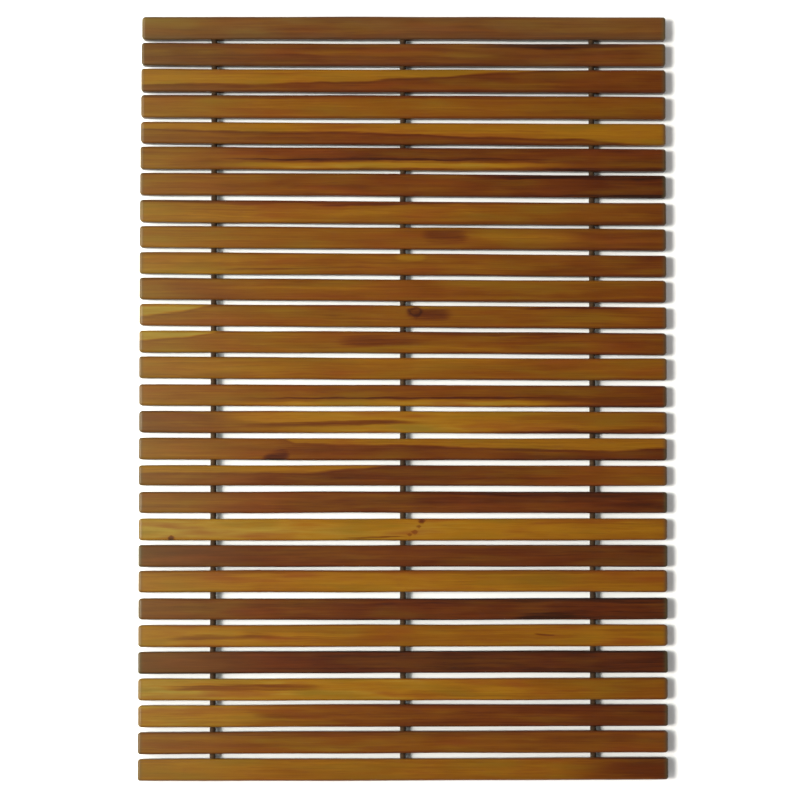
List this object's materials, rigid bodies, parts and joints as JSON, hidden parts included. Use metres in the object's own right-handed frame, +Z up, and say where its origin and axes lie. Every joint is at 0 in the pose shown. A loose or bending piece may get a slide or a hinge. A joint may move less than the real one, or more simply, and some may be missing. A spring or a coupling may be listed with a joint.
{
  "type": "bath mat",
  "caption": "Roll-up bath mat of straight hardwood slats with eased edges, side by side on dark cords that run through them from edge to edge.",
  "frame": {"origin": "middle of the underside, on the surface that the mat lies on", "axes": "+X along the slats, +Y along the mat from the front slat to the back slat, +Z up"},
  "size_m": [0.38, 0.55, 0.01],
  "materials": {
    "wood": "oiled satin",
    "cord": "tight braid"
  },
  "bodies": {
    "row_01": {"slat_01": "wood", "cords_at_slat_01": "cord", "end_knots_back": "cord"},
    "row_02": {"slat_02": "wood", "cords_at_slat_02": "cord"},
    "row_03": {"slat_03": "wood", "cords_at_slat_03": "cord"},
    "row_04": {"slat_04": "wood", "cords_at_slat_04": "cord"},
    "row_05": {"slat_05": "wood", "cords_at_slat_05": "cord"},
    "row_06": {"slat_06": "wood", "cords_at_slat_06": "cord"},
    "row_07": {"slat_07": "wood", "cords_at_slat_07": "cord"},
    "row_08": {"slat_08": "wood", "cords_at_slat_08": "cord"},
    "row_09": {"slat_09": "wood", "cords_at_slat_09": "cord"},
    "row_10": {"slat_10": "wood", "cords_at_slat_10": "cord"},
    "row_11": {"slat_11": "wood", "cords_at_slat_11": "cord"},
    "row_12": {"slat_12": "wood", "cords_at_slat_12": "cord"},
    "row_13": {"slat_13": "wood", "cords_at_slat_13": "cord"},
    "row_14": {"slat_14": "wood", "cords_at_slat_14": "cord"},
    "row_15": {"slat_15": "wood", "cords_at_slat_15": "cord"},
    "row_16": {"slat_16": "wood", "cords_at_slat_16": "cord"},
    "row_17": {"slat_17": "wood", "cords_at_slat_17": "cord"},
    "row_18": {"slat_18": "wood", "cords_at_slat_18": "cord"},
    "row_19": {"slat_19": "wood", "cords_at_slat_19": "cord"},
    "row_20": {"slat_20": "wood", "cords_at_slat_20": "cord"},
    "row_21": {"slat_21": "wood", "cords_at_slat_21": "cord"},
    "row_22": {"slat_22": "wood", "cords_at_slat_22": "cord"},
    "row_23": {"slat_23": "wood", "cords_at_slat_23": "cord"},
    "row_24": {"slat_24": "wood", "cords_at_slat_24": "cord"},
    "row_25": {"slat_25": "wood", "cords_at_slat_25": "cord"},
    "row_26": {"slat_26": "wood", "cords_at_slat_26": "cord"},
    "row_27": {"slat_27": "wood", "cords_at_slat_27": "cord"},
    "row_28": {"slat_28": "wood", "cords_at_slat_28": "cord"},
    "row_29": {"slat_29": "wood", "cords_at_slat_29": "cord", "end_knots_front": "cord"}
  },
  "joints": [
    {"name": "bend_01", "type": "hinge", "parent": "row_01", "child": "row_02", "pos_m": [0, 0.25761, 0.005], "axis": [-1, 0, 0], "range_deg": [0, 20], "deforming": ["cords_at_slat_01", "cords_at_slat_02"]},
    {"name": "bend_02", "type": "hinge", "parent": "row_02", "child": "row_03", "pos_m": [0, 0.23854, 0.005], "axis": [-1, 0, 0], "range_deg": [0, 20], "deforming": ["cords_at_slat_02", "cords_at_slat_03"]},
    {"name": "bend_03", "type": "hinge", "parent": "row_03", "child": "row_04", "pos_m": [0, 0.21946, 0.005], "axis": [-1, 0, 0], "range_deg": [0, 20], "deforming": ["cords_at_slat_03", "cords_at_slat_04"]},
    {"name": "bend_04", "type": "hinge", "parent": "row_04", "child": "row_05", "pos_m": [0, 0.20014, 0.005], "axis": [-1, 0, 0], "range_deg": [0, 21], "deforming": ["cords_at_slat_04", "cords_at_slat_05"]},
    {"name": "bend_05", "type": "hinge", "parent": "row_05", "child": "row_06", "pos_m": [0, 0.18121, 0.005], "axis": [-1, 0, 0], "range_deg": [0, 21], "deforming": ["cords_at_slat_05", "cords_at_slat_06"]},
    {"name": "bend_06", "type": "hinge", "parent": "row_06", "child": "row_07", "pos_m": [0, 0.16254, 0.005], "axis": [-1, 0, 0], "range_deg": [0, 21], "deforming": ["cords_at_slat_06", "cords_at_slat_07"]},
    {"name": "bend_07", "type": "hinge", "parent": "row_07", "child": "row_08", "pos_m": [0, 0.14321, 0.005], "axis": [-1, 0, 0], "range_deg": [0, 22], "deforming": ["cords_at_slat_07", "cords_at_slat_08"]},
    {"name": "bend_08", "type": "hinge", "parent": "row_08", "child": "row_09", "pos_m": [0, 0.12389, 0.005], "axis": [-1, 0, 0], "range_deg": [0, 22], "deforming": ["cords_at_slat_08", "cords_at_slat_09"]},
    {"name": "bend_09", "type": "hinge", "parent": "row_09", "child": "row_10", "pos_m": [0, 0.10481, 0.005], "axis": [-1, 0, 0], "range_deg": [0, 22], "deforming": ["cords_at_slat_09", "cords_at_slat_10"]},
    {"name": "bend_10", "type": "hinge", "parent": "row_10", "child": "row_11", "pos_m": [0, 0.08614, 0.005], "axis": [-1, 0, 0], "range_deg": [0, 23], "deforming": ["cords_at_slat_10", "cords_at_slat_11"]},
    {"name": "bend_11", "type": "hinge", "parent": "row_11", "child": "row_12", "pos_m": [0, 0.06746, 0.005], "axis": [-1, 0, 0], "range_deg": [0, 23], "deforming": ["cords_at_slat_11", "cords_at_slat_12"]},
    {"name": "bend_12", "type": "hinge", "parent": "row_12", "child": "row_13", "pos_m": [0, 0.04839, 0.005], "axis": [-1, 0, 0], "range_deg": [0, 24], "deforming": ["cords_at_slat_12", "cords_at_slat_13"]},
    {"name": "bend_13", "type": "hinge", "parent": "row_13", "child": "row_14", "pos_m": [0, 0.02961, 0.005], "axis": [-1, 0, 0], "range_deg": [0, 24], "deforming": ["cords_at_slat_13", "cords_at_slat_14"]},
    {"name": "bend_14", "type": "hinge", "parent": "row_14", "child": "row_15", "pos_m": [0, 0.01044, 0.005], "axis": [-1, 0, 0], "range_deg": [0, 25], "deforming": ["cords_at_slat_14", "cords_at_slat_15"]},
    {"name": "bend_15", "type": "hinge", "parent": "row_15", "child": "row_16", "pos_m": [0, -0.00904, 0.005], "axis": [-1, 0, 0], "range_deg": [0, 25], "deforming": ["cords_at_slat_15", "cords_at_slat_16"]},
    {"name": "bend_16", "type": "hinge", "parent": "row_16", "child": "row_17", "pos_m": [0, -0.02811, 0.005], "axis": [-1, 0, 0], "range_deg": [0, 26], "deforming": ["cords_at_slat_16", "cords_at_slat_17"]},
    {"name": "bend_17", "type": "hinge", "parent": "row_17", "child": "row_18", "pos_m": [0, -0.04749, 0.005], "axis": [-1, 0, 0], "range_deg": [0, 26], "deforming": ["cords_at_slat_17", "cords_at_slat_18"]},
    {"name": "bend_18", "type": "hinge", "parent": "row_18", "child": "row_19", "pos_m": [0, -0.06686, 0.005], "axis": [-1, 0, 0], "range_deg": [0, 27], "deforming": ["cords_at_slat_18", "cords_at_slat_19"]},
    {"name": "bend_19", "type": "hinge", "parent": "row_19", "child": "row_20", "pos_m": [0, -0.08594, 0.005], "axis": [-1, 0, 0], "range_deg": [0, 28], "deforming": ["cords_at_slat_19", "cords_at_slat_20"]},
    {"name": "bend_20", "type": "hinge", "parent": "row_20", "child": "row_21", "pos_m": [0, -0.10501, 0.005], "axis": [-1, 0, 0], "range_deg": [0, 28], "deforming": ["cords_at_slat_20", "cords_at_slat_21"]},
    {"name": "bend_21", "type": "hinge", "parent": "row_21", "child": "row_22", "pos_m": [0, -0.12369, 0.005], "axis": [-1, 0, 0], "range_deg": [0, 29], "deforming": ["cords_at_slat_21", "cords_at_slat_22"]},
    {"name": "bend_22", "type": "hinge", "parent": "row_22", "child": "row_23", "pos_m": [0, -0.14276, 0.005], "axis": [-1, 0, 0], "range_deg": [0, 30], "deforming": ["cords_at_slat_22", "cords_at_slat_23"]},
    {"name": "bend_23", "type": "hinge", "parent": "row_23", "child": "row_24", "pos_m": [0, -0.16224, 0.005], "axis": [-1, 0, 0], "range_deg": [0, 31], "deforming": ["cords_at_slat_23", "cords_at_slat_24"]},
    {"name": "bend_24", "type": "hinge", "parent": "row_24", "child": "row_25", "pos_m": [0, -0.18131, 0.005], "axis": [-1, 0, 0], "range_deg": [0, 32], "deforming": ["cords_at_slat_24", "cords_at_slat_25"]},
    {"name": "bend_25", "type": "hinge", "parent": "row_25", "child": "row_26", "pos_m": [0, -0.20039, 0.005], "axis": [-1, 0, 0], "range_deg": [0, 34], "deforming": ["cords_at_slat_25", "cords_at_slat_26"]},
    {"name": "bend_26", "type": "hinge", "parent": "row_26", "child": "row_27", "pos_m": [0, -0.21946, 0.005], "axis": [-1, 0, 0], "range_deg": [0, 35], "deforming": ["cords_at_slat_26", "cords_at_slat_27"]},
    {"name": "bend_27", "type": "hinge", "parent": "row_27", "child": "row_28", "pos_m": [0, -0.23854, 0.005], "axis": [-1, 0, 0], "range_deg": [0, 36], "deforming": ["cords_at_slat_27", "cords_at_slat_28"]},
    {"name": "bend_28", "type": "hinge", "parent": "row_28", "child": "row_29", "pos_m": [0, -0.25761, 0.005], "axis": [-1, 0, 0], "range_deg": [0, 36], "deforming": ["cords_at_slat_28", "cords_at_slat_29"]}
  ]
}
